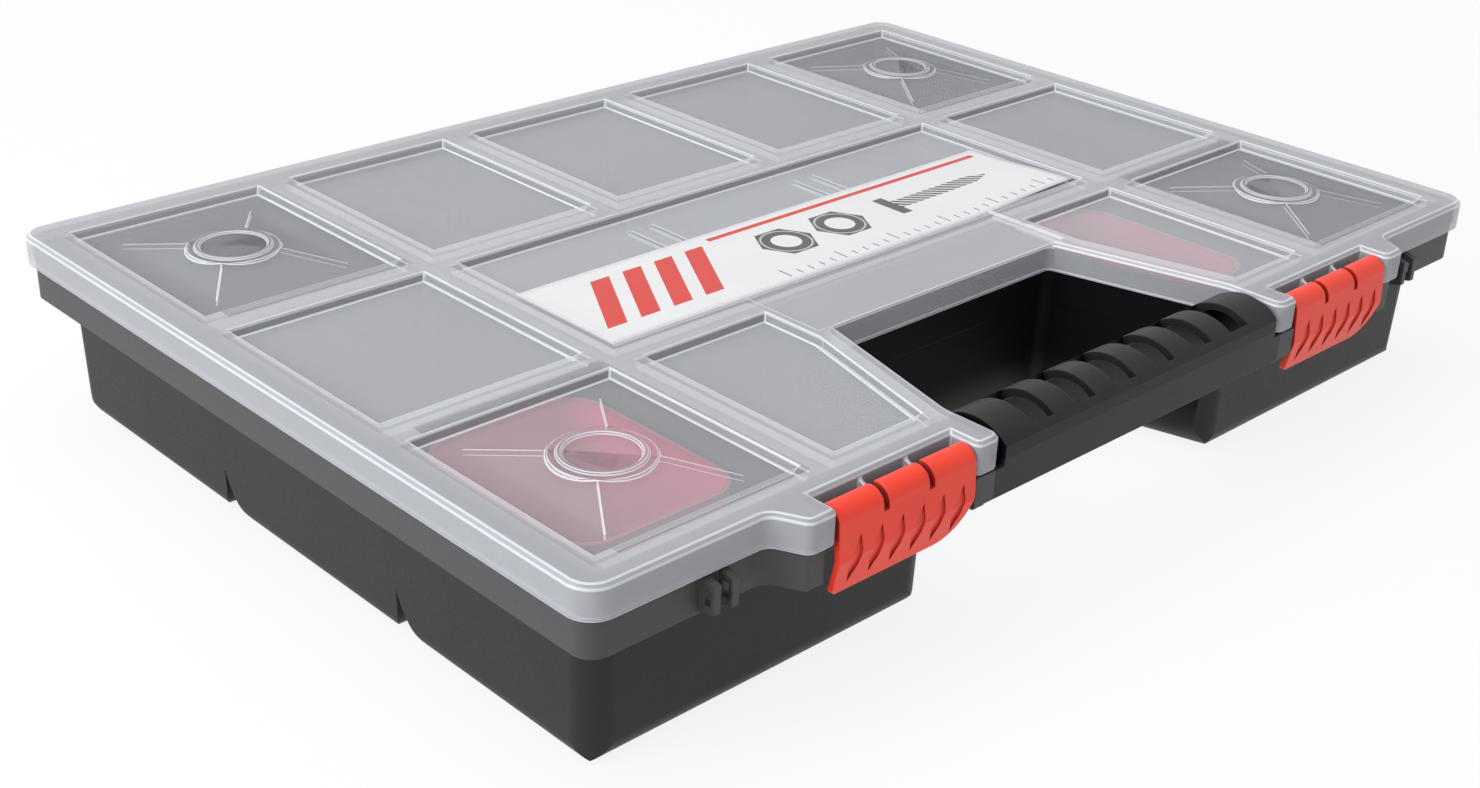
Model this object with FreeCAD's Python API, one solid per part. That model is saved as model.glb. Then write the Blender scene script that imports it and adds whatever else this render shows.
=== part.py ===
import FreeCAD, Part
import math
import os
from FreeCAD import Vector

# Screw sorting box: tray with a carry handle, hinged clear lid, two snap latches, two cups, label.
# +X runs along the handle, +Z is up and -Y is the handle's side. The origin is on the table under
# the middle of the box. A plan point is (x, back), with back measured from the lid's front face.

# Lid
lid_width = 400.0
lid_depth = 282.0
lid_top = 61.5
lid_sheet = 1.6
lid_corner = 8.0
lid_edge = 1.2
skirt_height = 10.0
border = 12.0
ridge_width = 12.5
panel_drop = 2.8
panel_slope = 1.2
hand_border = 8.0
strip_drop = 0.8

# Corner ring bosses on the lid
boss_base_x = 46.0
boss_base_y = 57.0
boss_radius = 14.5
boss_crest = 10.2
boss_foot = 0.8
ring_radius = 10.5
ring_width = 1.5
ring_height = 0.7

# Compartments: pitch of the columns, and the dividing walls between the rows
column_pitch = 76.0
front_wall_at = 93.0
back_wall_at = 181.0
strip_half = 57.0

# Tray
tray_wall = 2.0
divider = 1.8
divider_rise = 2.0
rim_gap = 0.5
seat_gap = 0.4
band_drop = 11.5
side_inset = 9.5
front_inset = 10.5
back_inset = 9.0
draft_degrees = 1.2
corner_cut = 3.5
tub_corner = 8.0
tub_bottom_round = 5.0
scoop_radius = 17.0
front_scoop_radius = 4.0
deck_thickness = 2.0

# Hand opening and handle
hand_back = 67.5
hand_half_back = 51.0
hand_half_front = 66.0
hand_knee = 10.0
hand_corner = 2.0
hand_knee_round = 12.0
hand_bottom_round = 10.0
handle_depth = 23.0
handle_wall = 2.2
handle_drop = 9.3
apron_rise = 5.5
arch_rise = 4.6
grip_gap = 0.8
slot_count = 6
slot_pitch = 18.6
slot_width = 9.4
slot_margin = 2.0
slot_sink = 1.2

# Latches, their bars and catches
latch_middle = 102.0
latch_width = 51.6
latch_gap = 0.4
latch_drop = 20.2
latch_plate = 2.0
latch_bulge = 0.8
latch_lean = 1.4
latch_round = 13.5
latch_tip_round = 1.5
latch_bead_drop = 12.0
lobe_reach = 10.0
lobe_width = 9.8
lobe_flare = 5.0
lobe_round = 3.5
lobe_notch_round = 2.5
lobe_flare_round = 4.0
bar_radius = 2.2
bar_gap = 0.25
bar_back = 5.2
bar_under_top = 5.8
hook_wall = 2.2
hook_end_degrees = -20.0
gusset = 1.2
gusset_gap = 0.4
gusset_half_height = 1.5
groove_count = 6
groove_length = 13.0
groove_width = 3.4
groove_lean = 3.0
groove_depth = 0.7
groove_pitch = 7.8
groove_under_bar = 4.4
catch_half = 16.0
catch_height = 4.0
catch_reach = 6.0
catch_gap = 0.4

# Rear hinge
hinge_middle = 112.0
hinge_hook_width = 28.0
hinge_ear = 6.0
hinge_gap = 0.4
hinge_pin_radius = 2.0
hinge_back = 3.6
hinge_under_skirt = 3.5
hinge_ear_radius = 3.0
hinge_ear_cut = 1.2

# Tag eyes on the tray's front
eye_middle = 159.0
eye_plate = 2.2
eye_spacing = 6.0
eye_reach = 5.0
eye_height = 11.0
eye_cut = 1.5
eye_window = 2.2

# Cups and label
cup_gap = 3.0
cup_spare_right = 12.0
cup_spare_front = 5.0
cup_wall = 1.4
cup_corner = 11.0
cup_bend = 15.0
cup_draft_degrees = 2.0
cup_rim_gap = 0.5
label_length = 212.0
label_height = 46.0
label_sheet = 0.3
label_front = 101.8
label_rib_margin = 6.0

# Heights and places that follow from the sizes above
skirt_bottom = lid_top - skirt_height
panel_top = lid_top - panel_drop
panel_bottom = panel_top - lid_sheet
lid_under = lid_top - lid_sheet
deck_top = panel_bottom - seat_gap
deck_bottom = deck_top - deck_thickness
divider_top = deck_top + divider_rise
band_bottom = skirt_bottom - band_drop
rim_inset = lid_sheet + rim_gap
hook_radius = bar_radius + bar_gap + hook_wall
hinge_hook_radius = hinge_pin_radius + bar_gap + lid_sheet
hinge_z = skirt_bottom - hinge_under_skirt
latch_reach = bar_back + hook_radius + latch_bulge
front_reach = max(lobe_reach, latch_reach)
back_reach = hinge_back + hinge_hook_radius
lid_front = front_reach - (front_reach + lid_depth + back_reach) / 2
half_width = lid_width / 2
inner_column = column_pitch / 2
outer_column = column_pitch * 1.5
bar_z = lid_top - bar_under_top
notch_half = latch_width / 2 + latch_gap
draft = math.tan(math.radians(draft_degrees))
small = 0.01
past = 5.0


def at(x, back, z):
    return Vector(x, lid_front + back, z)


def plan(points, z):
    return [at(x, back, z) for x, back in points]


def side_view(points, x):
    return [at(x, back, z) for back, z in points]


def front_view(points, back):
    return [at(x, back, z) for x, z in points]


def rounded(corners, radii):
    """Closed wire through the corners, with an arc at each corner that has a radius."""
    count = len(corners)
    starts = []
    ends = []
    edges = []
    for i in range(count):
        before = (corners[i - 1] - corners[i]).normalize()
        after = (corners[(i + 1) % count] - corners[i]).normalize()
        half = before.getAngle(after) / 2
        reach = radii[i] / math.tan(half)
        starts.append(corners[i] + before * reach)
        ends.append(corners[i] + after * reach)
        if radii[i] > 0:
            bisector = (before + after).normalize()
            middle = corners[i] + bisector * (radii[i] / math.sin(half) - radii[i])
            edges.append(Part.Arc(starts[i], middle, ends[i]).toShape())
    for i in range(count):
        edges.append(Part.LineSegment(ends[i], starts[(i + 1) % count]).toShape())
    return Part.Wire(Part.__sortEdges__(edges))


def inset(points, distance):
    """Plan points of a counter-clockwise outline, with every side moved inwards."""
    count = len(points)
    moved = []
    for i in range(count):
        (x0, y0), (x1, y1), (x2, y2) = points[i - 1], points[i], points[(i + 1) % count]
        a = math.hypot(x1 - x0, y1 - y0)
        b = math.hypot(x2 - x1, y2 - y1)
        nx, ny = (y0 - y1) / a, (x1 - x0) / a
        mx, my = (y1 - y2) / b, (x2 - x1) / b
        share = distance / (1 + nx * mx + ny * my)
        moved.append((x1 + share * (nx + mx), y1 + share * (ny + my)))
    return moved


def inset_radii(points, radii, distance):
    """Corner radii of the inset outline: smaller at outward corners, larger at round inward ones."""
    count = len(points)
    moved = []
    for i in range(count):
        (x0, y0), (x1, y1), (x2, y2) = points[i - 1], points[i], points[(i + 1) % count]
        outward = (x1 - x0) * (y2 - y1) - (y1 - y0) * (x2 - x1) > 0
        change = -distance if outward else distance
        moved.append(max(0, radii[i] + change) if radii[i] > 0 else 0)
    return moved


def prism(points, radii, distance, low, high):
    """Upright solid between two heights, from an outline moved inwards by a distance."""
    wire = rounded(plan(inset(points, distance), low), inset_radii(points, radii, distance))
    return Part.Face(wire).extrude(Vector(0, 0, high - low))


def stacked(points, radii, levels):
    """Solid through an outline at several levels, each a (height, distance inwards)."""
    wires = []
    for z, distance in levels:
        wires.append(rounded(plan(inset(points, distance), z), inset_radii(points, radii, distance)))
    return Part.makeLoft(wires, True, True)


def cut_corners(points, size):
    """Plan points with each corner cut off at a distance along both of its sides."""
    count = len(points)
    cut = []
    for i in range(count):
        corner = Vector(*points[i], 0)
        for neighbour in (points[i - 1], points[(i + 1) % count]):
            end = corner + (Vector(*neighbour, 0) - corner).normalize() * size
            cut.append((end.x, end.y))
    return cut


def flat_face(corners):
    return Part.Face(Part.makePolygon(corners + corners[:1]))


def frustum(bottoms, tops):
    """Solid of flat faces between two outlines with the same number of corners."""
    count = len(tops)
    faces = [flat_face(bottoms[::-1]), flat_face(tops)]
    for i in range(count):
        j = (i + 1) % count
        faces.append(flat_face([bottoms[i], bottoms[j], tops[j], tops[i]]))
    return Part.Solid(Part.Shell(faces))


def drafted(points, radii, low, high, slope):
    """Block that narrows downwards, with the outline at its top and its upright edges rounded."""
    tops = plan(points, high)
    bottoms = plan(inset(points, slope * (high - low)), low)
    solid = frustum(bottoms, tops)
    for radius in sorted(set(radii)):
        corners = [top for top, own in zip(tops, radii) if own == radius]
        edges = []
        for edge in solid.Edges:
            upright = edge.BoundBox.ZLength > (high - low) / 2
            ends = [vertex.Point for vertex in edge.Vertexes]
            if upright and any(end.distanceToPoint(corner) < small for end in ends for corner in corners):
                edges.append(edge)
        solid = solid.makeFillet(radius, edges)
    return solid


def rectangle(x0, x1, back0, back1):
    return [(x0, back0), (x1, back0), (x1, back1), (x0, back1)]


def mirrored(points):
    """The outline on the other side of the box, still counter-clockwise."""
    return [(-x, back) for x, back in reversed(points)]


def box(x0, x1, back0, back1, z0, z1):
    return Part.makeBox(x1 - x0, back1 - back0, z1 - z0, at(x0, back0, z0))


def rod(radius, x0, x1, back, z):
    return Part.makeCylinder(radius, x1 - x0, at(x0, back, z), Vector(1, 0, 0))


def along_x(wire, length):
    return Part.Face(wire).extrude(Vector(length, 0, 0))


# Lid outline: right half from the hand opening's back corner, counter-clockwise, then mirrored
notch_in = latch_middle - notch_half
notch_out = latch_middle + notch_half
lobe_end = notch_out + lobe_width
handle_half = notch_in
lid_half = [
    (hand_half_back, hand_back),
    (hand_half_front, hand_knee),
    (hand_half_front, -lobe_reach),
    (notch_in, -lobe_reach),
    (notch_in, 0),
    (notch_out, 0),
    (notch_out, -lobe_reach),
    (lobe_end, -lobe_reach),
    (lobe_end + lobe_flare, 0),
    (half_width, 0),
    (half_width, lid_depth),
]
lid_half_radii = [
    hand_corner,
    hand_knee_round,
    lobe_round,
    lobe_notch_round,
    0,
    0,
    lobe_notch_round,
    lobe_round,
    lobe_flare_round,
    lid_corner,
    lid_corner,
]
lid_outline = lid_half + mirrored(lid_half)
lid_radii = lid_half_radii + lid_half_radii[::-1]

lid_slope = (hand_half_front - hand_half_back) / (hand_back - hand_knee)


def hand_half(back):
    """Half width of the hand opening in the lid at a distance behind the lid's front."""
    return hand_half_back + (hand_back - back) * lid_slope


# Tub outline under the rim, and the sloping wall beside the hand opening
rim_points = inset(lid_outline, rim_inset)
rim_radii = inset_radii(lid_outline, lid_radii, rim_inset)
tub_side = half_width - side_inset
tub_back = lid_depth - back_inset
(slope_back_x, slope_back_at), (slope_front_x, slope_front_at) = rim_points[0], rim_points[1]
slope_rate = (slope_front_x - slope_back_x) / (slope_back_at - slope_front_at)
slope_thick = tray_wall * math.hypot(1, slope_rate)


def slope_x(back):
    """Half width of the hand opening in the tray at a distance behind the lid's front."""
    return slope_back_x + (slope_back_at - back) * slope_rate


tub_half = [
    (slope_back_x, slope_back_at),
    (slope_x(front_inset), front_inset),
    (tub_side, front_inset),
    (tub_side, tub_back),
]
tub_outline = tub_half + mirrored(tub_half)

# Compartments in plan
side_in = tub_side - tray_wall
front_in = front_inset + tray_wall
back_in = tub_back - tray_wall
half_divider = divider / 2
columns = [
    (-side_in, -outer_column - half_divider),
    (-outer_column + half_divider, -inner_column - half_divider),
    (-inner_column + half_divider, inner_column - half_divider),
    (inner_column + half_divider, outer_column - half_divider),
    (outer_column + half_divider, side_in),
]
rows = {
    "front": (front_in, front_wall_at - half_divider),
    "middle": (front_wall_at + half_divider, back_wall_at - half_divider),
    "back": (back_wall_at + half_divider, back_in),
}
taper_inner = strip_half + half_divider
taper_join = slope_back_at - (taper_inner - slope_thick - slope_back_x) / slope_rate
taper_tub = [
    (slope_x(front_in) + slope_thick, front_in),
    (outer_column - half_divider, front_in),
    (outer_column - half_divider, rows["front"][1]),
    (taper_inner, rows["front"][1]),
    (taper_inner, taper_join),
]
strip_tub = rectangle(
    -strip_half + half_divider, strip_half - half_divider, slope_back_at + tray_wall, rows["front"][1]
)


def scooped_bar(back0, back1, low, high, slope, front_radius, back_radius):
    """Long bar over one row, as wide as the lid, with scooped front and back bottom edges."""
    lean = slope * (high - low)
    profile = [(back0, high), (back0 + lean, low), (back1 - lean, low), (back1, high)]
    wire = rounded(side_view(profile, -half_width), [0, front_radius, back_radius, 0])
    return along_x(wire, lid_width)


def hand_round(thickness):
    """Cutter for the right block's bottom edge along the hand opening, a thickness inside its wall."""
    stretch = math.hypot(1, slope_rate)
    shift = (thickness + draft * (deck_top - thickness)) * stretch
    radius = hand_bottom_round - thickness
    along = Vector(slope_rate, -1, 0) / stretch
    inward = Vector(1, slope_rate, 0) / stretch
    corner = at(slope_back_x + shift, slope_back_at, thickness)

    def place(across, rise):
        return corner + inward * across + Vector(0, 0, rise)

    part_way = radius * (1 - math.sqrt(0.5))
    bend = Part.Arc(place(radius, 0), place(part_way, part_way), place(0, radius))
    outside = [place(0, radius), place(-past, radius), place(-past, -past)]
    outside += [place(radius, -past), place(radius, 0)]
    wire = Part.Wire([bend.toShape()] + Part.makePolygon(outside).Edges)
    return Part.Face(wire).extrude(along * hand_back * stretch)


def both_sides(solid):
    return [solid, solid.mirror(Vector(0, 0, 0), Vector(1, 0, 0))]


def compartment(points, row):
    """The space of one compartment, from its scooped floor to above the rim."""
    high = deck_top + past
    rise = draft * past
    back0, back1 = rows[row]
    outline = cut_corners(inset(points, -rise), corner_cut)
    space = frustum(plan(inset(outline, draft * (high - tray_wall)), tray_wall), plan(outline, high))
    bar = scooped_bar(back0 - rise, back1 + rise, tray_wall, high, draft, front_scoop_radius, scoop_radius)
    return space.common(bar)


def compartments():
    spaces = []
    for x0, x1 in columns:
        for row in ("middle", "back"):
            spaces.append(compartment(rectangle(x0, x1, *rows[row]), row))
    for x0, x1 in (columns[0], columns[-1]):
        spaces.append(compartment(rectangle(x0, x1, *rows["front"]), "front"))
    spaces += both_sides(compartment(taper_tub, "front").cut(hand_round(tray_wall)))
    spaces.append(compartment(strip_tub, "front"))
    return spaces


def tub_block():
    """All tubs in one block: the drafted plan cut to the scooped rows and to rounded ends."""
    half_radii = [rim_radii[0], tub_corner, tub_corner, tub_corner]
    block = drafted(tub_outline, half_radii + half_radii[::-1], 0, deck_top, draft)
    bars = []
    for row in rows:
        back0, back1 = rows[row]
        radii = front_scoop_radius + tray_wall, scoop_radius + tray_wall
        bars.append(scooped_bar(back0 - tray_wall, back1 + tray_wall, 0, deck_top, draft, *radii))
    lean = draft * deck_top
    ends = [(-tub_side + lean, 0), (tub_side - lean, 0), (tub_side, deck_top), (-tub_side, deck_top)]
    wire = rounded(front_view(ends, 0), [tub_bottom_round, tub_bottom_round, 0, 0])
    rounded_ends = Part.Face(wire).extrude(Vector(0, lid_depth, 0))
    return block.common(bars[0].fuse(bars[1:])).common(rounded_ends).cut(both_sides(hand_round(0)))


def rim():
    """Deck round the compartments with its downturned band, open from below."""
    outer = prism(lid_outline, lid_radii, rim_inset, band_bottom, deck_top)
    return outer.cut(prism(lid_outline, lid_radii, rim_inset + tray_wall, band_bottom, deck_bottom))


def divider_ribs():
    """Tops of the dividing walls, which stand in the hollow ridges of the lid."""
    low = deck_bottom
    ribs = []
    for back in (front_wall_at, back_wall_at):
        ribs.append(box(-side_in, side_in, back - half_divider, back + half_divider, low, divider_top))
    for side in (-1, 1):
        outer = side * outer_column
        inner = side * inner_column
        ribs.append(box(outer - half_divider, outer + half_divider, front_in, back_in, low, divider_top))
        ribs.append(box(inner - half_divider, inner + half_divider, back_wall_at, back_in, low, divider_top))
    return ribs


def handle_profile(wall):
    """Side outline of the handle: upright apron at the front, arched top, upright back."""
    front = -lobe_reach + wall
    back = -lobe_reach + handle_depth - wall
    low = skirt_bottom - handle_drop
    shoulder = skirt_bottom + apron_rise - wall
    crest = skirt_bottom + apron_rise + arch_rise - wall
    return front, back, low, shoulder, crest


def handle_bar(half, wall):
    """Solid bar of the handle's section, moved inwards by a wall thickness."""
    front, back, low, shoulder, crest = handle_profile(wall)
    middle = (front + back) / 2
    top = Part.Arc(at(-half, front, shoulder), at(-half, middle, crest), at(-half, back, shoulder))
    corners = [(back, shoulder), (back, low), (front, low), (front, shoulder)]
    legs = Part.makePolygon(side_view(corners, -half))
    return along_x(Part.Wire([top.toShape()] + legs.Edges), 2 * half)


def handle():
    """Hollow handle: an arched grip between the lid's lobes, on ends that run under them."""
    grip_half = hand_half(handle_depth - lobe_reach) - grip_gap
    low = skirt_bottom - handle_drop
    base_top = skirt_bottom - rim_gap
    base = box(-handle_half, handle_half, -lobe_reach, handle_depth - lobe_reach, low, base_top)
    solid = base.fuse(handle_bar(grip_half, 0))
    inner_base = box(
        -handle_half + handle_wall,
        handle_half - handle_wall,
        -lobe_reach + handle_wall,
        handle_depth - lobe_reach - handle_wall,
        low,
        base_top - handle_wall,
    )
    hollow = inner_base.fuse(handle_bar(grip_half - handle_wall, handle_wall))
    front, back, _, shoulder, crest = handle_profile(0)
    slots = []
    for i in range(slot_count):
        middle = (i - (slot_count - 1) / 2) * slot_pitch
        slots.append(
            box(
                middle - slot_width / 2,
                middle + slot_width / 2,
                front + slot_margin,
                back - slot_margin,
                shoulder - slot_sink,
                crest + small,
            )
        )
    return solid.cut([hollow] + slots)


def hinge_ears():
    """Ears on the tray's back band, with a pin between each pair."""
    axis_back = lid_depth + hinge_back
    root = lid_depth - rim_inset - tray_wall / 2
    tip = axis_back + hinge_ear_radius
    low = hinge_z - hinge_ear_radius
    high = hinge_z + hinge_ear_radius
    cut = hinge_ear_cut
    profile = [(root, low), (tip - cut, low), (tip, low + cut)]
    profile += [(tip, high - cut), (tip - cut, high), (root, high)]
    solids = []
    for side in (-1, 1):
        middle = side * hinge_middle
        reach = hinge_hook_width / 2 + hinge_gap
        for x0 in (middle - reach - hinge_ear, middle + reach):
            wire = Part.makePolygon(side_view(profile + profile[:1], x0))
            solids.append(along_x(wire, hinge_ear))
        pin_half = reach + hinge_ear / 2
        solids.append(rod(hinge_pin_radius, middle - pin_half, middle + pin_half, axis_back, hinge_z))
    return solids


def latch_section():
    """Places on a latch that its catch also needs: bead height and the plate's inner face."""
    bead_z = bar_z - latch_bead_drop
    inner = -bar_back - hook_radius + latch_plate
    return bead_z, inner


def catches():
    """A sloping ledge on the band behind each latch, which the latch's bead snaps under."""
    bead_z, _ = latch_section()
    low = bead_z + catch_gap
    root = rim_inset + tray_wall / 2
    tip = rim_inset - catch_reach
    profile = [(root, low), (root, low + catch_height), (tip, low + catch_height / 4), (tip, low)]
    solids = []
    for side in (-1, 1):
        x0 = side * latch_middle - catch_half
        wire = Part.makePolygon(side_view(profile + profile[:1], x0))
        solids.append(along_x(wire, 2 * catch_half))
    return solids


def tag_eyes():
    """Two plates with a window beside each outer lobe, where a tag or tie goes through."""
    solids = []
    top = skirt_bottom - rim_gap
    tip = rim_inset - eye_reach
    root = rim_inset + tray_wall / 2
    low = top - eye_height
    profile = [(root, top), (tip, top - eye_cut), (tip, low + eye_cut), (root, low)]
    window_back = tip + eye_reach / 2
    window_z = top - eye_height / 2
    for side in (-1, 1):
        for shift in (-1, 1):
            x0 = side * eye_middle + shift * eye_spacing / 2 - eye_plate / 2
            plate = along_x(Part.makePolygon(side_view(profile + profile[:1], x0)), eye_plate)
            window = box(
                x0,
                x0 + eye_plate,
                window_back - eye_window / 2,
                window_back + eye_window / 2,
                window_z - eye_window,
                window_z + eye_window,
            )
            solids.append(plate.cut(window))
    return solids


def tray():
    solid = tub_block().fuse([rim()] + divider_ribs())
    solid = solid.cut(compartments())
    solid = solid.fuse([handle()] + hinge_ears() + catches() + tag_eyes())
    return solid.removeSplitter()


# Lid panels in plan: those with a ring boss, and the plain ones
half_ridge = ridge_width / 2
panel_side = half_width - border
panel_columns = [
    (-panel_side, -outer_column - half_ridge),
    (-outer_column + half_ridge, -inner_column - half_ridge),
    (-inner_column + half_ridge, inner_column - half_ridge),
    (inner_column + half_ridge, outer_column - half_ridge),
    (outer_column + half_ridge, panel_side),
]
panel_front = (border, front_wall_at - half_ridge)
panel_middle = (front_wall_at + half_ridge, back_wall_at - half_ridge)
panel_back = (back_wall_at + half_ridge, lid_depth - border)
label_half = outer_column - half_ridge
taper_shift = hand_border * math.hypot(1, lid_slope)
taper_panel_inner = strip_half + half_ridge / 2
taper_panel_join = hand_back - (taper_panel_inner - taper_shift - hand_half_back) / lid_slope
taper_panel = [
    (hand_half(border) + taper_shift, border),
    (outer_column - half_ridge, border),
    (outer_column - half_ridge, panel_front[1]),
    (taper_panel_inner, panel_front[1]),
    (taper_panel_inner, taper_panel_join),
]
boss_panels = [
    rectangle(*panel_columns[0], *panel_front),
    rectangle(*panel_columns[-1], *panel_front),
    rectangle(*panel_columns[0], *panel_back),
    rectangle(*panel_columns[-1], *panel_back),
]
plain_panels = [rectangle(*column, *panel_back) for column in panel_columns[1:-1]]
plain_panels += [rectangle(*panel_columns[0], *panel_middle), rectangle(*panel_columns[-1], *panel_middle)]
plain_panels += [taper_panel, mirrored(taper_panel), rectangle(-label_half, label_half, *panel_middle)]


def pan(points):
    """Outer block of one sunken panel."""
    outline = plan(inset(points, -lid_sheet), panel_bottom)
    return flat_face(outline).extrude(Vector(0, 0, lid_under + small - panel_bottom))


def sunk(points):
    """Space above one sunken panel, with sloping walls."""
    rate = panel_slope / panel_drop
    bottoms = plan(inset(points, panel_slope), panel_top)
    return frustum(bottoms, plan(inset(points, -rate * past), lid_top + past))


def boss_sides(middle_x, middle_back, drop):
    """Four flat sides of a boss, from its rectangular base to its crest."""
    low = panel_top - drop
    high = lid_top - drop
    levels = []
    for z, half_x, half_y in ((low, boss_base_x / 2, boss_base_y / 2), (high, boss_crest, boss_crest)):
        corners = rectangle(middle_x - half_x, middle_x + half_x, middle_back - half_y, middle_back + half_y)
        levels.append(plan(corners, z))
    return frustum(*levels)


def boss_crown(middle_x, middle_back):
    """Round top of a boss, where the creases between its sides run out."""
    low = at(middle_x, middle_back, panel_top)
    return Part.makeCone(boss_radius + boss_foot, boss_radius, panel_drop, low)


def ring(middle_x, middle_back):
    """Raised ring on top of a boss."""
    low = at(middle_x, middle_back, lid_under)
    height = lid_sheet + ring_height
    outer = Part.makeCylinder(ring_radius + ring_width, height, low)
    return outer.cut(Part.makeCylinder(ring_radius, height, low))


def strip(low, high):
    """Shallow step behind the hand opening, open towards it and towards the long panel."""
    return box(-strip_half, strip_half, hand_back, panel_middle[0] + panel_slope, low, high)


def middle_of(points):
    xs = [x for x, _ in points]
    backs = [back for _, back in points]
    return (min(xs) + max(xs)) / 2, (min(backs) + max(backs)) / 2


def latch_bars():
    """A round bar across each latch notch, held off the lid's front by two gussets."""
    solids = []
    for side in (-1, 1):
        middle = side * latch_middle
        end = notch_half + lid_sheet / 2
        solids.append(rod(bar_radius, middle - end, middle + end, -bar_back, bar_z))
        root = lid_sheet / 2
        low = bar_z - gusset_half_height
        high = bar_z + gusset_half_height
        profile = [(root, low), (root, lid_under), (-bar_back, high), (-bar_back, low)]
        for third in (-1, 1):
            x0 = middle + third * latch_width / 6 - gusset / 2
            wire = Part.makePolygon(side_view(profile + profile[:1], x0))
            solids.append(along_x(wire, gusset))
    return solids


def hinge_hooks():
    """Hooks on the lid's back that close round the tray's hinge pins, open towards the tray."""
    solids = []
    for side in (-1, 1):
        x0 = side * hinge_middle - hinge_hook_width / 2
        x1 = x0 + hinge_hook_width
        axis_back = lid_depth + hinge_back
        eye = rod(hinge_hook_radius, x0, x1, axis_back, hinge_z)
        high = skirt_bottom + lid_sheet
        web = box(x0, x1, lid_depth - lid_sheet / 2, axis_back, hinge_z + hinge_pin_radius, high)
        spine = box(x0, x1, axis_back, axis_back + hinge_hook_radius, hinge_z, high)
        hole = rod(hinge_pin_radius + bar_gap, x0, x1, axis_back, hinge_z)
        mouth = box(
            x0,
            x1,
            axis_back - hinge_hook_radius,
            axis_back,
            hinge_z - hinge_hook_radius,
            hinge_z,
        )
        solids.append(eye.fuse([web, spine]).cut([hole, mouth]))
    return solids


def label_ribs():
    """Ribs under the long panel, a pair astride each dividing wall below it."""
    low = panel_bottom - lid_sheet
    back0 = panel_middle[0] + label_rib_margin
    back1 = panel_middle[1] - label_rib_margin
    solids = []
    for side in (-1, 1):
        for shift in (-1, 1):
            x = side * inner_column + shift * (half_ridge - lid_sheet)
            solids.append(
                box(x - lid_sheet / 2, x + lid_sheet / 2, back0, back1, low, panel_bottom + small)
            )
    return solids


def lid():
    edge_z = lid_top - lid_edge
    solid = stacked(lid_outline, lid_radii, [(skirt_bottom, 0), (edge_z, 0), (lid_top, lid_edge)])
    solid = solid.cut(prism(lid_outline, lid_radii, lid_sheet, skirt_bottom, lid_under))
    panels = boss_panels + plain_panels
    strip_top = lid_top - strip_drop
    strip_block = strip(strip_top - lid_sheet, lid_under + small)
    solid = solid.fuse([pan(points) for points in panels] + [strip_block])
    solid = solid.cut([sunk(points) for points in panels] + [strip(strip_top, lid_top + past)])
    middles = [middle_of(points) for points in boss_panels]
    bosses = [boss_sides(*middle, 0) for middle in middles] + [boss_crown(*middle) for middle in middles]
    hollows = [boss_sides(*middle, lid_sheet) for middle in middles]
    rings = [ring(*middle) for middle in middles]
    solid = solid.fuse(bosses).cut(hollows)
    solid = solid.fuse(rings + latch_bars() + hinge_hooks() + label_ribs())
    return solid.removeSplitter()


def latch(middle):
    """Snap latch: hooks round the lid's bar, bowed plate, grooved face and an inner bead."""
    x0 = middle - latch_width / 2
    x1 = middle + latch_width / 2
    front = -bar_back - hook_radius
    low = bar_z - latch_drop
    half_z = bar_z - latch_drop / 2
    tip = front + latch_lean
    face = [(front, bar_z), (front - latch_bulge, half_z), (tip, low)]
    rear = [(tip + latch_plate, low), (front - latch_bulge + latch_plate, half_z), (front + hook_wall, bar_z)]
    plate_wire = Part.makePolygon(side_view(face + rear + face[:1], x0))
    plate = along_x(plate_wire, latch_width)
    core = plate.translated(Vector(0, groove_depth, 0))

    turn = 180.0 - hook_end_degrees
    hook = Part.makeCylinder(hook_radius, latch_width, at(x0, -bar_back, bar_z), Vector(1, 0, 0), turn)
    hook.rotate(at(x0, -bar_back, bar_z), Vector(1, 0, 0), hook_end_degrees)
    bore = rod(bar_radius + bar_gap, x0, x1, -bar_back, bar_z)

    bead_z, bead_root = latch_section()
    bead_tip = rim_inset - catch_reach - catch_gap
    bead_low = bead_z - catch_height / 2
    bead_profile = [(bead_root - latch_plate / 2, bead_low), (bead_tip, bead_z - catch_height / 4)]
    bead_profile += [(bead_tip, bead_z), (bead_root - latch_plate / 2, bead_z)]
    bead_wire = Part.makePolygon(side_view(bead_profile + bead_profile[:1], middle - catch_half))
    bead = along_x(bead_wire, 2 * catch_half)

    solid = plate.fuse([hook, bead]).cut(bore)
    outline = [(x0, low), (x1, low), (x1, bar_z + hook_radius), (x0, bar_z + hook_radius)]
    shield = rounded(front_view(outline, -lobe_reach - past), [latch_tip_round, latch_round, 0, 0])
    solid = solid.common(Part.Face(shield).extrude(Vector(0, lobe_reach + 2 * past, 0)))

    cuts = []
    slit_half = gusset / 2 + gusset_gap
    for third in (-1, 1):
        x = middle + third * latch_width / 6
        cuts.append(
            box(x - slit_half, x + slit_half, front - past, past, bar_z - gusset, bar_z + hook_radius + small)
        )
    for i in range(groove_count):
        x = middle + (i - (groove_count - 1) / 2) * groove_pitch
        cuts.append(groove(x, front - past).cut(core))
    return solid.cut(cuts)


def groove(x, back):
    """Slanting leaf-shaped cutter for one grip groove on a latch."""
    top_z = bar_z - groove_under_bar
    low_z = top_z - groove_length
    leaf = [
        (x - groove_lean / 2, low_z),
        (x + groove_width / 2 - groove_lean / 6, low_z + groove_length / 3),
        (x + groove_width / 2 + groove_lean / 6, top_z - groove_length / 3),
        (x + groove_lean / 2, top_z),
        (x - groove_width / 2 + groove_lean / 6, top_z - groove_length / 3),
        (x - groove_width / 2 - groove_lean / 6, low_z + groove_length / 3),
    ]
    return flat_face(front_view(leaf, back)).extrude(Vector(0, lobe_reach, 0))


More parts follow.
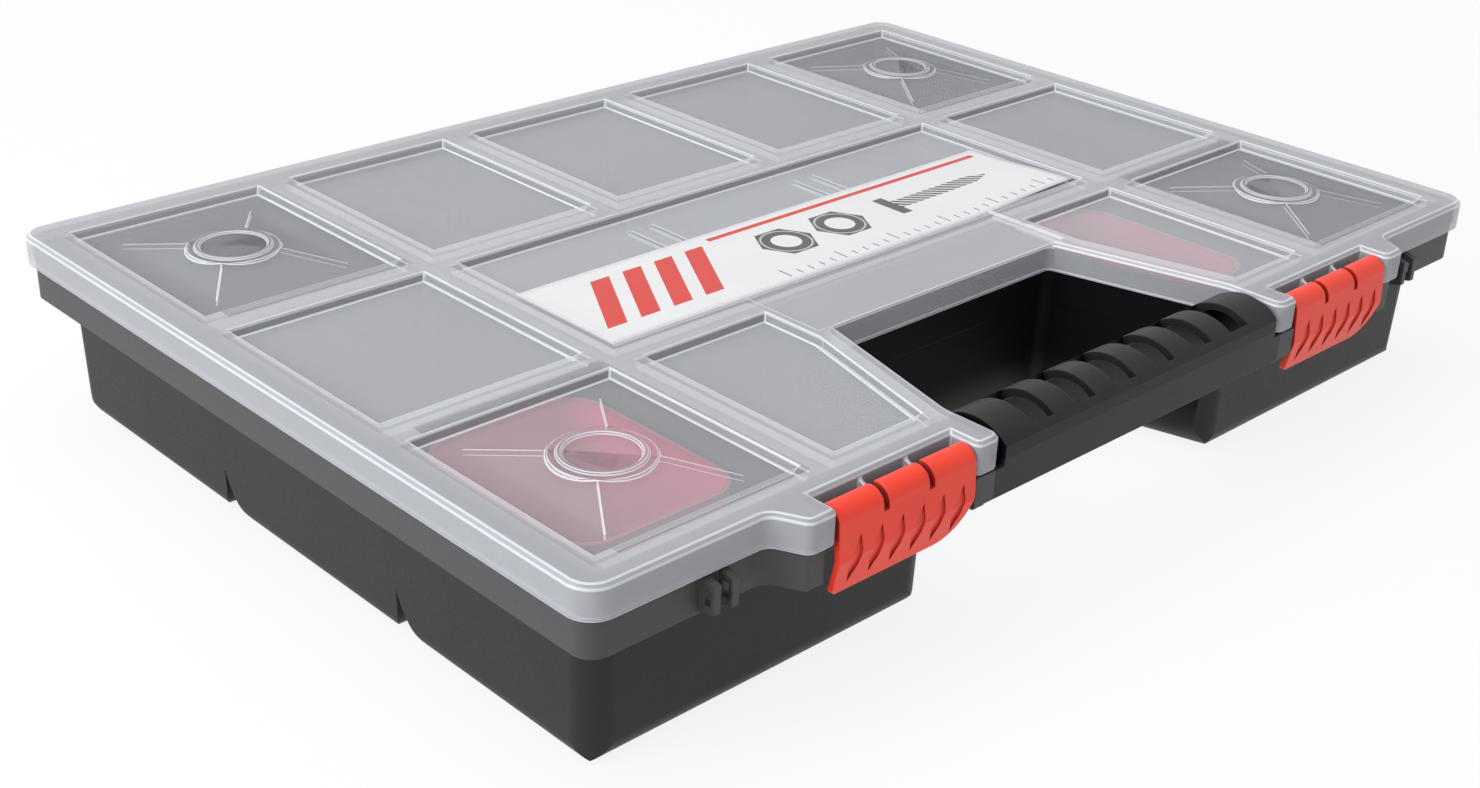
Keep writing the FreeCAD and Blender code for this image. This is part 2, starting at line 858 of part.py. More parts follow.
def cup_block(points, corner, low, high, bend):
    """Drafted block with round upright corners and bent front and back bottom edges."""
    slope = math.tan(math.radians(cup_draft_degrees))
    backs = [back for _, back in points]
    bar = scooped_bar(min(backs), max(backs), low, high, slope, bend, bend)
    return drafted(points, [corner] * len(points), low, high, slope).common(bar)


def cup(points):
    """Loose cup that stands on a compartment's floor, below the lid's panel."""
    rim_z = panel_bottom - cup_rim_gap
    outline = inset(points, cup_gap)
    outer = cup_block(outline, cup_corner, tray_wall, rim_z, cup_bend)
    inside = inset(outline, cup_wall)
    floor = tray_wall + cup_wall
    inner = cup_block(inside, cup_corner - cup_wall, floor, rim_z + small, cup_bend - cup_wall)
    outer = outer.cut(hand_round(tray_wall))
    return outer.cut(inner.cut(hand_round(floor)))


def label_card():
    half = label_length / 2
    return box(-half, half, label_front, label_front + label_height, panel_top, panel_top + label_sheet)


# Ground that each cup stands on: a compartment in plan, less the spare room at its right and front
cup_front = front_in + cup_spare_front
left_cup = rectangle(columns[0][0], columns[0][1] - cup_spare_right, cup_front, rows["front"][1])
cup_side = taper_tub[1][0] - cup_spare_right
right_cup = [(slope_x(cup_front) + slope_thick, cup_front), (cup_side, cup_front)]
right_cup += [(cup_side, rows["front"][1])] + taper_tub[3:]
pieces = {
    "tray": tray(),
    "lid": lid(),
    "latch_left": latch(-latch_middle),
    "latch_right": latch(latch_middle),
    "cup_front_left": cup(left_cup),
    "cup_front_right": cup(right_cup),
    "label_card": label_card(),
}
os.makedirs("parts", exist_ok=True)
for name, shape in pieces.items():
    shape.exportStep(f"parts/{name}.step")
    box_size = shape.BoundBox
    print(name, shape.isValid(), len(shape.Solids), round(shape.Volume), box_size)
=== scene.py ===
import math

import bmesh
import bpy
from mathutils import Matrix, Vector


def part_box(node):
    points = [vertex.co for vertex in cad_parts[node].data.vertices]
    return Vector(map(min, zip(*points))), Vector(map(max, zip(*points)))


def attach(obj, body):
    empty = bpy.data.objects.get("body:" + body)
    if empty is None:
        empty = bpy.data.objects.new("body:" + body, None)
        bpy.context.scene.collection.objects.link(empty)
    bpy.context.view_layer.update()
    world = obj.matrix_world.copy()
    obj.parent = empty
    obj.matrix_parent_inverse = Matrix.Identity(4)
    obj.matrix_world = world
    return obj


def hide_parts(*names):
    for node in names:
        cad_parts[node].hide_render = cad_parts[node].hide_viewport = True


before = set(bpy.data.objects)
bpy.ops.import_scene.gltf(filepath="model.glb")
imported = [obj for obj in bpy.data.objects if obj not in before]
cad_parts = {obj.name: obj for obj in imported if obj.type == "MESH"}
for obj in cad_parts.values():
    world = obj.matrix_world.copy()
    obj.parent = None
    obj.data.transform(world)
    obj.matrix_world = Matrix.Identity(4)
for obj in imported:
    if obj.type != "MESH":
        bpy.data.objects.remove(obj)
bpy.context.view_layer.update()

# Lengths are in metres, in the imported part's own frame.
MM = 0.001
TRAY_LOW, TRAY_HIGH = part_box("tray")
CARD_LOW, CARD_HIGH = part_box("label_card")
LID_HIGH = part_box("lid")[1]

# Camera, from the photograph: where it stands and how it is turned, in degrees
PHOTO_WIDTH = 1480
CAMERA_PLACE = Vector((-443.46, -434.91, 301.96)) * MM
CAMERA_AZIMUTH = 44.39
CAMERA_ELEVATION = 26.347
CAMERA_ROLL = 2.112
FOCAL_PIXELS = 1995.6
SENSOR_WIDTH = 36.0
NEAREST_SEEN = 10.0 * MM


def make_camera():
    """Camera at the photograph's place, with its turn and focal length."""
    turn = math.radians(CAMERA_AZIMUTH)
    fall = math.radians(CAMERA_ELEVATION)
    forward = Vector((math.sin(turn) * math.cos(fall), math.cos(turn) * math.cos(fall), -math.sin(fall)))
    level = Vector((math.cos(turn), -math.sin(turn), 0))
    upright = level.cross(forward)
    roll = math.radians(CAMERA_ROLL)
    right = level * math.cos(roll) + upright * math.sin(roll)
    up = right.cross(forward)
    data = bpy.data.cameras.new("camera")
    data.sensor_fit = "HORIZONTAL"
    data.sensor_width = SENSOR_WIDTH
    data.lens = SENSOR_WIDTH * FOCAL_PIXELS / PHOTO_WIDTH
    data.clip_start = NEAREST_SEEN
    camera = bpy.data.objects.new("camera", data)
    turned = Matrix((right, up, -forward)).transposed().to_4x4()
    camera.matrix_world = Matrix.Translation(CAMERA_PLACE) @ turned
    bpy.context.collection.objects.link(camera)
    bpy.context.scene.camera = camera


# What the finishes share: the mix node's sockets for numbers and for colours, with its output,
# the range that a noise mostly keeps to, and the upward share of a normal on sloping faces
NUMBER_MIX = ("FLOAT", (0, 2, 3), 0)
COLOUR_MIX = ("RGBA", (0, 6, 7), 2)
NOISE_RANGE = (0.3, 0.7)
SLOPE_RANGE = (0.5, 0.9)
OPEN_AIR_SAMPLES = 8
EDGE_SAMPLES = 6


class Shader:
    """A node material with short calls for the nodes that the finishes here share."""

    def __init__(self, name):
        self.material = bpy.data.materials.new(name)
        self.material.use_nodes = True
        self.tree = self.material.node_tree
        self.surface = self.tree.nodes["Principled BSDF"]
        self.place = self.node("ShaderNodeTexCoord").outputs["Object"]

    def node(self, kind, **settings):
        made = self.tree.nodes.new(kind)
        for name, value in settings.items():
            setattr(made, name, value)
        return made

    def put(self, socket, item):
        """Set a socket to a number or a colour, or join it to another node's output."""
        if isinstance(item, (int, float)):
            socket.default_value = item
        elif isinstance(item, tuple):
            socket.default_value = (*item, 1.0)
        else:
            self.tree.links.new(item, socket)

    def feed(self, name, item):
        self.put(self.surface.inputs[name], item)

    def math(self, operation, *items):
        made = self.node("ShaderNodeMath", operation=operation)
        for socket, item in zip(made.inputs, items):
            self.put(socket, item)
        return made.outputs[0]

    def part(self, vector, letter):
        split = self.node("ShaderNodeSeparateXYZ")
        self.put(split.inputs[0], vector)
        return split.outputs[letter]

    def axis(self, letter):
        return self.part(self.place, letter)

    def noise(self, scale, detail=2.0):
        made = self.node("ShaderNodeTexNoise")
        for name, item in (("Vector", self.place), ("Scale", scale), ("Detail", detail)):
            self.put(made.inputs[name], item)
        return made.outputs["Fac"]

    def spread(self, source, low, high, start=0.0, end=1.0, kind="LINEAR"):
        """The source's range from start to end, mapped to low and high."""
        made = self.node("ShaderNodeMapRange", interpolation_type=kind)
        names = ("Value", "From Min", "From Max", "To Min", "To Max")
        for name, item in zip(names, (source, start, end, low, high)):
            self.put(made.inputs[name], item)
        return made.outputs["Result"]

    def vary(self, noise, low, high):
        """Low to high over the range that a noise mostly keeps to."""
        return self.spread(noise, low, high, *NOISE_RANGE)

    def rising(self, source, start, end):
        """0 up to the start and 1 from the end on, with a smooth rise between them."""
        return self.spread(source, 0.0, 1.0, start, end, "SMOOTHSTEP")

    def mixed(self, kind, *items):
        data_type, sockets, result = kind
        made = self.node("ShaderNodeMix", data_type=data_type)
        for index, item in zip(sockets, items):
            self.put(made.inputs[index], item)
        return made.outputs[result]

    def mix(self, share, first, second):
        """The first colour where the share is 0, the second where it is 1."""
        return self.mixed(COLOUR_MIX, share, first, second)

    def blend(self, share, first, second):
        """The first number where the share is 0, the second where it is 1."""
        return self.mixed(NUMBER_MIX, share, first, second)

    def absolute(self, source):
        return self.math("ABSOLUTE", source)

    def above(self, source, limit):
        return self.math("GREATER_THAN", source, limit)

    def below(self, source, limit):
        return self.math("LESS_THAN", source, limit)

    def inside(self, source, low, high):
        """1 where the source lies between two numbers, otherwise 0."""
        return self.every(self.above(source, low), self.below(source, high))

    def opposite(self, share):
        return self.math("SUBTRACT", 1.0, share)

    def every(self, first, *others):
        for other in others:
            first = self.math("MULTIPLY", first, other)
        return first

    def any_of(self, first, *others):
        for other in others:
            first = self.math("MAXIMUM", first, other)
        return first

    def beat(self, source, pitch):
        """0 to 1 over each pitch of the source, again and again."""
        return self.math("FRACT", self.math("MULTIPLY", source, 1 / pitch))

    def steep(self):
        """1 on upright and steeply sloping walls, 0 on level faces."""
        normal = self.node("ShaderNodeNewGeometry").outputs["True Normal"]
        return self.spread(self.absolute(self.part(normal, "Z")), 1.0, 0.0, *SLOPE_RANGE)

    def open_air(self, reach):
        """1 on open faces, falling towards 0 in slots and corners closer than the reach."""
        made = self.node("ShaderNodeAmbientOcclusion", samples=OPEN_AIR_SAMPLES)
        self.put(made.inputs["Distance"], reach)
        return made.outputs["AO"]

    def bump(self, height, strength, distance, edge=0.0):
        """Surface grain, over edges that look rounded where a radius is given."""
        made = self.node("ShaderNodeBump")
        for name, item in (("Height", height), ("Strength", strength), ("Distance", distance)):
            self.put(made.inputs[name], item)
        if edge:
            soft = self.node("ShaderNodeBevel", samples=EDGE_SAMPLES)
            self.put(soft.inputs["Radius"], edge)
            self.put(made.inputs["Normal"], soft.outputs[0])
        self.feed("Normal", made.outputs["Normal"])


# Black moulded plastic of the tray: a fine even grain and broad soft changes of tone, painted paler on the
# band round the rim where the lamps fall on it, and painted shade inside the hand opening and in the slots of
# the grip
GRAIN_PER_METRE = 1800.0
TONE_PER_METRE = 14.0
TONE_DETAIL = 3.0
BLACK_DEEP = (0.009, 0.009, 0.010)
BLACK_PALE = (0.015, 0.015, 0.016)
# Painted light: a paler colour on the band round the rim, for the lamp light falling on it
BLACK_BAND_LIT = (0.055, 0.054, 0.057)
# Painted shade: a darker colour inside the hand opening and in the grip's slots, with less shine
BLACK_HAND_SHADE = (0.004, 0.004, 0.005)
BAND_BOTTOM = 40.0 * MM
BAND_SIDE = TRAY_HIGH[0] - 5.9 * MM
BAND_REAR = 135.0 * MM
BAND_FRONT = -134.0 * MM
HANDLE_HALF = 68.0 * MM
HANDLE_FRONT = TRAY_LOW[1] + 1.4 * MM
HANDLE_BACK = -126.0 * MM
HAND_BACK = -66.0 * MM
HAND_FADE = (2.0 * MM, 24.0 * MM)
GRIP_BOTTOM = 53.0 * MM
SLOT_REACH = 9.0 * MM
SLOT_OPEN = (0.4, 0.85)
RIB_SHARE = 0.30
TRAY_ROUGH = (0.42, 0.54)
TRAY_SHINE = 0.30
SHADED_SHINE = 0.04
TRAY_GRAIN = 0.25
TRAY_GRAIN_DEPTH = 0.06 * MM
TRAY_EDGE = 0.6 * MM


def black_plastic():
    shader = Shader("tray_black")
    tone = shader.noise(TONE_PER_METRE, TONE_DETAIL)
    grain = shader.noise(GRAIN_PER_METRE)
    across = shader.absolute(shader.axis("X"))
    deep = shader.axis("Y")
    height = shader.axis("Z")

    # Painted light: the band round the rim gets a paler colour where the lamps fall on it
    away = shader.any_of(shader.above(across, HANDLE_HALF), shader.above(deep, HAND_BACK))
    outside = shader.any_of(
        shader.above(across, BAND_SIDE), shader.above(deep, BAND_REAR), shader.below(deep, BAND_FRONT)
    )
    band = shader.every(away, outside, shader.above(height, BAND_BOTTOM))

    # Painted shade: the hand opening and the grip's slots, found by position and by ambient occlusion, get a
    # darker colour and less shine
    grip = shader.any_of(shader.above(height, GRIP_BOTTOM), shader.above(deep, HANDLE_FRONT))
    slots = shader.spread(shader.open_air(SLOT_REACH), 1.0, RIB_SHARE, *SLOT_OPEN)
    walls = shader.above(deep, HANDLE_BACK)
    off_floor = shader.rising(height, *HAND_FADE)
    held = shader.every(grip, shader.any_of(slots, walls), off_floor, shader.opposite(away))

    colour = shader.mix(tone, BLACK_DEEP, BLACK_PALE)
    colour = shader.mix(band, colour, BLACK_BAND_LIT)
    shader.feed("Base Color", shader.mix(held, colour, BLACK_HAND_SHADE))
    shader.feed("Roughness", shader.vary(grain, *TRAY_ROUGH))
    shader.feed("Specular IOR Level", shader.spread(held, TRAY_SHINE, SHADED_SHINE))
    shader.bump(grain, TRAY_GRAIN, TRAY_GRAIN_DEPTH, TRAY_EDGE)
    return shader.material


# Milky clear plastic of the lid: clearest round the ring bosses, a little denser on the skirt, the
# plain panels, the label's recess and the ridges, dense and grey along the border, and nearly white
# on the rounded edges, partly for the thicker plastic there and partly as a painted highlight
MILK = (0.74, 0.765, 0.82)
MILK_EDGE = (0.79, 0.81, 0.86)
MILK_BORDER = (0.43, 0.445, 0.48)
HAZE_PER_METRE = 9.0
HAZE_CLOUD = (0.96, 1.04)
PANEL_MIDDLE = -2.4 * MM
BORDER_SIDE = (LID_HIGH[0] - 11.5 * MM, LID_HIGH[0] - 9.0 * MM)
BORDER_END = (129.5 * MM, 132.0 * MM)
BOSS_COLUMNS = (118.5 * MM, 120.0 * MM)
BOSS_ROWS = (44.0 * MM, 46.0 * MM)
BOSS_SIDE = LID_HIGH[0] - 17.0 * MM
BOSS_END = 128.0 * MM
RECESS_SIDE = 120.0 * MM
RECESS_END = 42.0 * MM
RIDGE_RAMP = (LID_HIGH[2] - 3.3 * MM, LID_HIGH[2] - 1.1 * MM)
BODY_BOSS = 0.195
BODY_SIDE = 0.26
BODY_PANEL = 0.28
BODY_RECESS = 0.33
BODY_RIDGE = 0.34
BODY_BORDER = 0.58
# Partly painted highlight: the rounded edges are denser than the rest, for their thicker plastic and for the
# light they catch
BODY_EDGE_HIGHLIGHT = (0.59, 0.69)
LID_ROUGH = (0.24, 0.32)
LID_EDGE_ROUGH = (0.20, 0.28)


def milky_plastic():
    shader = Shader("lid_milky")
    across = shader.absolute(shader.axis("X"))
    along = shader.absolute(shader.math("SUBTRACT", shader.axis("Y"), PANEL_MIDDLE))
    haze = shader.noise(HAZE_PER_METRE)

    boss = shader.every(shader.rising(across, *BOSS_COLUMNS), shader.rising(along, *BOSS_ROWS))
    raised = shader.every(boss, shader.below(across, BOSS_SIDE), shader.below(along, BOSS_END))
    ridge = shader.every(shader.rising(shader.axis("Z"), *RIDGE_RAMP), shader.opposite(raised))
    recess = shader.every(shader.below(across, RECESS_SIDE), shader.below(along, RECESS_END))
    border = shader.any_of(shader.rising(across, *BORDER_SIDE), shader.rising(along, *BORDER_END))

    body = shader.blend(boss, BODY_PANEL, BODY_BOSS)
    body = shader.blend(recess, body, BODY_RECESS)
    body = shader.blend(ridge, body, BODY_RIDGE)
    body = shader.blend(shader.steep(), body, BODY_SIDE)
    body = shader.blend(border, body, BODY_BORDER)
    shader.feed("Alpha", shader.every(body, shader.vary(haze, *HAZE_CLOUD)))
    colour = shader.mix(ridge, MILK, MILK_EDGE)
    shader.feed("Base Color", shader.mix(border, colour, MILK_BORDER))
    shader.feed("Roughness", shader.vary(haze, *LID_ROUGH))
    return shader.material


# Partly painted highlight: denser, paler plastic on the rounded edges, for their thicker plastic and for the
# light they catch
def milky_edge_highlight():
    shader = Shader("lid_edge_highlight")
    haze = shader.noise(HAZE_PER_METRE)
    shader.feed("Alpha", shader.vary(haze, *BODY_EDGE_HIGHLIGHT))
    shader.feed("Base Color", shader.mix(haze, MILK, MILK_EDGE))
    shader.feed("Roughness", shader.vary(haze, *LID_EDGE_ROUGH))
    return shader.material


# Red plastic of the latches and cups, with painted shade in narrow grooves and corners
LATCH_DEEP = (0.78, 0.042, 0.020)
LATCH_PALE = (0.86, 0.060, 0.030)
CUP_DEEP = (0.52, 0.012, 0.090)
CUP_PALE = (0.62, 0.025, 0.140)
# Painted shade: the dark red that grooves and corners are coloured towards
GROOVE_SHADE_RED = (0.22, 0.008, 0.006)
GROOVE_REACH = 3.0 * MM
GROOVE_OPEN = (0.45, 0.95)
GROOVE_SHADE = 0.9
RED_TONE_PER_METRE = 42.0
RED_ROUGH = (0.30, 0.42)
RED_SHINE = 0.3
RED_GRAIN = 0.15
RED_GRAIN_DEPTH = 0.05 * MM


def red_plastic(name, deep, pale):
    shader = Shader(name)
    tone = shader.noise(RED_TONE_PER_METRE)
    grain = shader.noise(GRAIN_PER_METRE)
    colour = shader.mix(tone, deep, pale)
    # Painted shade: ambient occlusion darkens the colour in grooves and corners
    shade = shader.spread(shader.open_air(GROOVE_REACH), GROOVE_SHADE, 0.0, *GROOVE_OPEN)
    shader.feed("Base Color", shader.mix(shade, colour, GROOVE_SHADE_RED))
    shader.feed("Roughness", shader.vary(grain, *RED_ROUGH))
    shader.feed("Specular IOR Level", RED_SHINE)
    shader.bump(grain, RED_GRAIN, RED_GRAIN_DEPTH)
    return shader.material


# Label: a thin white card with slanting bars, two nuts, a screw, a tick scale and a rule. The print's
# places are in millimetres from the card's front left corner, and its shares are of each pitch.
PAPER_WHITE = (0.62, 0.62, 0.635)
PAPER_PALE = (0.67, 0.67, 0.68)
PAPER_TONE_PER_METRE = 56.0
PAPER_ROUGH = (0.38, 0.50)
PRINT_RED = (0.54, 0.030, 0.020)
PRINT_GREY = (0.060, 0.062, 0.068)
PRINT_PALE = (0.42, 0.43, 0.45)
PRINT_LINE = 25.0
BARS_ALONG = (0.0, 52.0)
BARS_DEEP = (9.0, 39.0)
BAR_SLANT = 0.6
BAR_PITCH = 13.0
BAR_SHARE = 0.58
NUTS_ALONG = (82.0, 132.0)
NUT_PITCH = 25.0
NUT_HALF = 9.5
NUT_BORE = 5.2
NUT_BEVEL = (8.2, 8.9)
NUT_FLANK = (0.866, 0.5)
HEAD_ALONG = (143.0, 147.5)
HEAD_HALF = 7.5
SHANK_HALF = 3.2
TIP_HALF = 0.2
TIP_ALONG = (186.0, 194.0)
THREAD_PITCH = 3.2
THREAD_SHARE = 0.62
SCALE_ALONG = (74.5, 206.0)
TICKS_DEEP = (3.0, 6.0)
TICK_PITCH = 5.0
TICK_SHARE = 0.1
LONGS_DEEP = (3.0, 9.0)
LONG_PITCH = 25.0
LONG_SHARE = 0.02
RULE_DEEP = (40.2, 42.4)


def print_bars(shader, along, deep):
    """Slanting bars at the card's left end."""
    slant = shader.math("SUBTRACT", along, shader.math("MULTIPLY", deep, BAR_SLANT))
    bar = shader.below(shader.beat(slant, BAR_PITCH), BAR_SHARE)
    return shader.every(shader.inside(slant, *BARS_ALONG), shader.inside(deep, *BARS_DEEP), bar)


def print_nuts(shader, along, tall):
    """Hexagon nuts on the print's line, and the ring of their bevel."""
    turn = shader.beat(shader.math("SUBTRACT", along, NUTS_ALONG[0]), NUT_PITCH)
    wide = shader.absolute(shader.math("MULTIPLY", shader.math("SUBTRACT", turn, 0.5), NUT_PITCH))
    leaning, upright = NUT_FLANK
    flank = shader.math("ADD", shader.math("MULTIPLY", wide, leaning), shader.math("MULTIPLY", tall, upright))
    outline = shader.below(shader.any_of(flank, tall), NUT_HALF)
    squares = shader.math("ADD", shader.math("POWER", wide, 2.0), shader.math("POWER", tall, 2.0))
    reach = shader.math("SQRT", squares)
    nuts = shader.every(shader.inside(along, *NUTS_ALONG), outline, shader.above(reach, NUT_BORE))
    return nuts, shader.every(nuts, shader.inside(reach, *NUT_BEVEL))


def print_screw(shader, along, rise, tall):
    """A screw on the print's line: a flat head and a threaded shank with a pointed tip."""
    head = shader.every(shader.inside(along, *HEAD_ALONG), shader.below(tall, HEAD_HALF))
    core = shader.below(tall, shader.spread(along, SHANK_HALF, TIP_HALF, *TIP_ALONG))
    thread = shader.below(shader.beat(shader.math("ADD", along, rise), THREAD_PITCH), THREAD_SHARE)
    shank = shader.every(shader.inside(along, HEAD_ALONG[1], TIP_ALONG[1]), core, thread)
    return shader.any_of(head, shank)


def print_ticks(shader, along, deep):
    """Short ticks near the card's front edge, with longer ones between them."""
    short = shader.below(shader.beat(along, TICK_PITCH), TICK_SHARE)
    long = shader.below(shader.beat(along, LONG_PITCH), LONG_SHARE)
    return shader.any_of(
        shader.every(short, shader.inside(deep, *TICKS_DEEP)),
        shader.every(long, shader.inside(deep, *LONGS_DEEP)),
    )


def card_print():
    shader = Shader("label_print")
    along = shader.math("MULTIPLY", shader.math("SUBTRACT", shader.axis("X"), CARD_LOW[0]), 1 / MM)
    deep = shader.math("MULTIPLY", shader.math("SUBTRACT", shader.axis("Y"), CARD_LOW[1]), 1 / MM)
    rise = shader.math("SUBTRACT", deep, PRINT_LINE)
    tall = shader.absolute(rise)

    scale = shader.inside(along, *SCALE_ALONG)
    nuts, bevel = print_nuts(shader, along, tall)
    red = shader.any_of(
        print_bars(shader, along, deep), shader.every(scale, shader.inside(deep, *RULE_DEEP))
    )
    grey = shader.any_of(
        nuts,
        print_screw(shader, along, rise, tall),
        shader.every(scale, print_ticks(shader, along, deep)),
    )

    tone = shader.noise(PAPER_TONE_PER_METRE, TONE_DETAIL)
    colour = shader.mix(tone, PAPER_WHITE, PAPER_PALE)
    colour = shader.mix(red, colour, PRINT_RED)
    colour = shader.mix(grey, colour, PRINT_GREY)
    shader.feed("Base Color", shader.mix(bevel, colour, PRINT_PALE))
    shader.feed("Roughness", shader.spread(tone, *PAPER_ROUGH))
    return shader.material


# Card's sheet, which curls up at its right front corner and ripples a little
CARD_SHEET = 0.25 * MM
CARD_STEPS = (72, 16)
CURL_LIFT = 1.9 * MM
CURL_FROM = 0.72
CURL_FADE = 1.2
RIPPLE_HALF = 0.06 * MM
RIPPLE_WAVES = (9.0, 2.0)


def smooth_step(value):
    held = min(max(value, 0.0), 1.0)
    return held * held * (3 - 2 * held)


def card_lift(across, deep):
    """How high the card lies over its recess, at shares of its width and depth."""
    curl = smooth_step((across - CURL_FROM) / (1 - CURL_FROM)) * smooth_step(1 - deep * CURL_FADE)
    ripple = 1 + math.sin(across * RIPPLE_WAVES[0]) * math.cos(deep * RIPPLE_WAVES[1])
    return CURL_LIFT * curl + RIPPLE_HALF * ripple


def make_card(material):
    columns, rows = CARD_STEPS
    points = []
    for row in range(rows + 1):
        for column in range(columns + 1):
            across = column / columns
            deep = row / rows
            x = CARD_LOW[0] + across * (CARD_HIGH[0] - CARD_LOW[0])
            y = CARD_LOW[1] + deep * (CARD_HIGH[1] - CARD_LOW[1])
            points.append((x, y, CARD_LOW[2] + card_lift(across, deep)))
    faces = []
    for row in range(rows):
        for column in range(columns):
            first = row * (columns + 1) + column
            faces.append((first, first + 1, first + columns + 2, first + columns + 1))
    mesh = bpy.data.meshes.new("label_sheet")
    mesh.from_pydata(points, [], faces)
    mesh.shade_smooth()
    mesh.materials.append(material)
    card = bpy.data.objects.new("label_sheet", mesh)
    bpy.context.collection.objects.link(card)
    thick = card.modifiers.new("thick", "SOLIDIFY")
    thick.thickness = CARD_SHEET
    thick.offset = 1.0
    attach(card, "lid")
    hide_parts("label_card")


# Rounded moulded edges: the node's own solid, with its sharp edges eased
WELD = 0.002 * MM
FLAT = math.radians(0.6)
CREASE = math.cos(math.radians(3.0))
ROUNDED_FROM = math.radians(13.5)
FAINT_BELOW = math.radians(20.0)
FAINT = 0.6
LID_EDGE = 0.40 * MM
LATCH_EDGE = 0.25 * MM
EDGE_STEPS = 2


def creased(edge, layer):
    """Whether the solid's own surfaces meet at an angle along an edge."""
    if len(edge.link_loops) != 2:
        return True
    one, other = edge.link_loops
    pairs = ((one, other.link_loop_next), (one.link_loop_next, other))
    return any(a[layer].dot(b[layer]) < CREASE for a, b in pairs)


def rounding(edge, sharp):
    """Share of the full width to which an edge is rounded: none where its faces hardly turn."""
    angle = edge.calc_face_angle(math.pi) if sharp else 0.0
    if angle < ROUNDED_FROM:
        return 0.0
    return FAINT if angle < FAINT_BELOW else 1.0


def weighted_solid(node, name):
    """A mesh of a node's solid, with flat stretches joined and each edge's rounding marked."""
    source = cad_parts[node].data
    normals = [corner.vector.copy() for corner in source.corner_normals]
    shape = bmesh.new()
    shape.from_mesh(source)
    layer = shape.loops.layers.float_vector.new("surface")
    weight = shape.edges.layers.float.new("bevel_weight_edge")
    for face, polygon in zip(shape.faces, source.polygons):
        face.smooth = True
        face.material_index = 0
        for loop, corner in zip(face.loops, polygon.loop_indices):
            loop[layer] = normals[corner]
    bmesh.ops.remove_doubles(shape, verts=shape.verts, dist=WELD)
    for edge in shape.edges:
        sharp = creased(edge, layer)
        edge.smooth = not sharp
        edge[weight] = rounding(edge, sharp)
    bmesh.ops.dissolve_limit(shape, angle_limit=FLAT, verts=shape.verts, edges=shape.edges)
    shape.loops.layers.float_vector.remove(layer)
    mesh = bpy.data.meshes.new(name)
    shape.to_mesh(mesh)
    shape.free()
    return mesh


def eased(node, name, body, width, materials):
    """A copy of a node's solid with its sharp edges rounded, the last material on them."""
    mesh = weighted_solid(node, name)
    for material in materials:
        mesh.materials.append(material)
    piece = bpy.data.objects.new(name, mesh)
    bpy.context.collection.objects.link(piece)
    ease = piece.modifiers.new("ease", "BEVEL")
    ease.width = width
    ease.segments = EDGE_STEPS
    ease.limit_method = "WEIGHT"
    ease.use_clamp_overlap = False
    ease.harden_normals = True
    ease.miter_outer = "MITER_SHARP"
    ease.material = len(materials) - 1
    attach(piece, body)
    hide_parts(node)


def painted(node, material):
    """A node that keeps its own mesh, with a better finish."""
    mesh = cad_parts[node].data
    mesh.materials.clear()
    mesh.materials.append(material)


# Pale floor, white surround and soft lamps: each lamp's place, the length of its sides and its watts
FLOOR_HALF = 3.0
FLOOR_UNDER = 0.3 * MM
FLOOR_PALE = (0.9, 0.9, 0.9)
SURROUND_WHITE = (1.0, 1.0, 1.0)
SURROUND_LIGHT = 0.50
SEEN_WHITE = (0.98, 0.975, 0.985)
SHADOW_SHARE = 0.11
LAMPS = {
    "top_box": ((-0.2, 0.3, 1.5), 1.2, 13.0),
    "left_box": ((-1.4, 0.1, 0.7), 1.0, 18.0),
    "front_box": ((0.3, -1.5, 0.8), 1.0, 0.8),
}


def seen_directly(tree):
    """1 for rays from the camera, mirrored rays and rays through clear stuff, otherwise 0."""
    path = tree.nodes.new("ShaderNodeLightPath")
    total = path.outputs["Is Camera Ray"]
    for name in ("Is Glossy Ray", "Is Transmission Ray"):
        larger = tree.nodes.new("ShaderNodeMath")
        larger.operation = "MAXIMUM"
        tree.links.new(total, larger.inputs[0])
        tree.links.new(path.outputs[name], larger.inputs[1])
        total = larger.outputs[0]
    return total


def lit(node, colour, strength):
    node.inputs["Color"].default_value = (*colour, 1.0)
    node.inputs["Strength"].default_value = strength
    return node


def join_shaders(tree, share, first, second, end):
    """Lead the first shader to the tree's end where the share is 0, and the second where it is 1."""
    choose = tree.nodes.new("ShaderNodeMixShader")
    tree.links.new(share, choose.inputs["Fac"])
    tree.links.new(first.outputs[0], choose.inputs[1])
    tree.links.new(second.outputs[0], choose.inputs[2])
    tree.links.new(choose.outputs[0], tree.nodes[end].inputs["Surface"])


def make_surround():
    world = bpy.data.worlds.new("surround")
    world.use_nodes = True
    bpy.context.scene.world = world
    tree = world.node_tree
    light = lit(tree.nodes["Background"], SURROUND_WHITE, SURROUND_LIGHT)
    seen = lit(tree.nodes.new("ShaderNodeBackground"), SEEN_WHITE, 1.0)
    join_shaders(tree, seen_directly(tree), light, seen, "World Output")


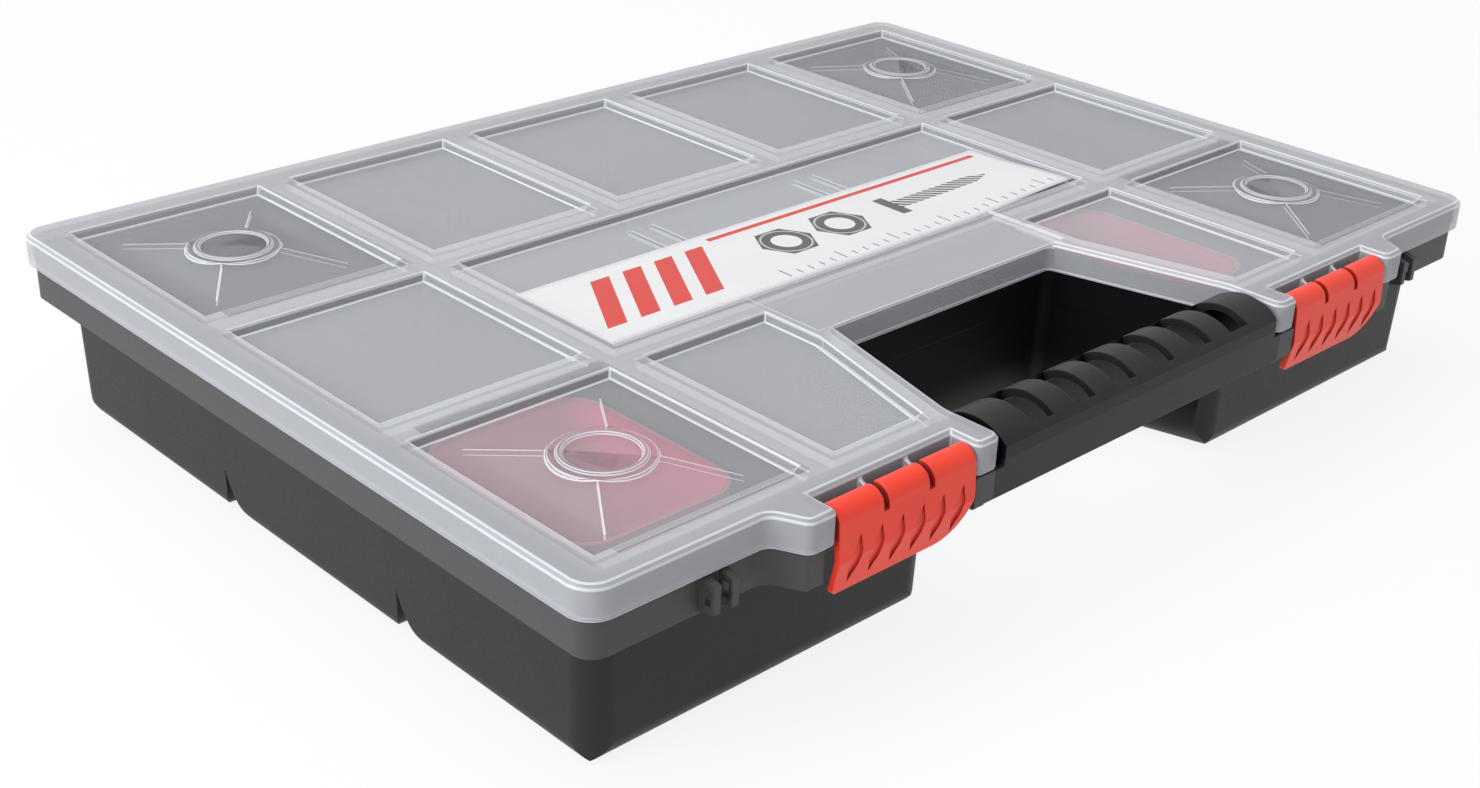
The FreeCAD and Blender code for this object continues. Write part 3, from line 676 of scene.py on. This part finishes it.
def floor_finish():
    """Matt and pale for the light on it, and seen as white with a share of the object's shadow."""
    material = bpy.data.materials.new("floor_pale")
    material.use_nodes = True
    tree = material.node_tree
    matt = tree.nodes["Principled BSDF"]
    matt.inputs["Base Color"].default_value = (*FLOOR_PALE, 1.0)
    matt.inputs["Roughness"].default_value = 1.0
    matt.inputs["Specular IOR Level"].default_value = 0.0
    glow = lit(tree.nodes.new("ShaderNodeEmission"), SEEN_WHITE, 1.0)
    share = tree.nodes.new("ShaderNodeMath")
    share.operation = "MULTIPLY"
    share.inputs[1].default_value = 1.0 - SHADOW_SHARE
    tree.links.new(seen_directly(tree), share.inputs[0])
    join_shaders(tree, share.outputs[0], matt, glow, "Material Output")
    return material


def make_floor():
    corners = [(-1, -1), (1, -1), (1, 1), (-1, 1)]
    points = [(x * FLOOR_HALF, y * FLOOR_HALF, -FLOOR_UNDER) for x, y in corners]
    mesh = bpy.data.meshes.new("floor")
    mesh.from_pydata(points, [], [(0, 1, 2, 3)])
    mesh.materials.append(floor_finish())
    floor = bpy.data.objects.new("floor", mesh)
    bpy.context.collection.objects.link(floor)


def make_lamps():
    """Square lamps that face the middle of the part."""
    for name, (place, size, power) in LAMPS.items():
        data = bpy.data.lights.new(name, "AREA")
        data.shape = "SQUARE"
        data.size = size
        data.energy = power
        lamp = bpy.data.objects.new(name, data)
        lamp.location = place
        lamp.rotation_euler = (-Vector(place)).to_track_quat("-Z", "Y").to_euler()
        bpy.context.collection.objects.link(lamp)


make_camera()
make_surround()
make_floor()
make_lamps()

black = black_plastic()
milky = milky_plastic()
latch_red = red_plastic("latch_red", LATCH_DEEP, LATCH_PALE)
cup_red = red_plastic("cup_red", CUP_DEEP, CUP_PALE)

painted("tray", black)
eased("lid", "lid_moulding", "lid", LID_EDGE, [milky, milky_edge_highlight()])
eased("latch_left", "latch_left_moulding", "latch_left", LATCH_EDGE, [latch_red])
eased("latch_right", "latch_right_moulding", "latch_right", LATCH_EDGE, [latch_red])
painted("cup_front_left", cup_red)
painted("cup_front_right", cup_red)
make_card(card_print())

bpy.context.scene.view_settings.view_transform = "Standard"
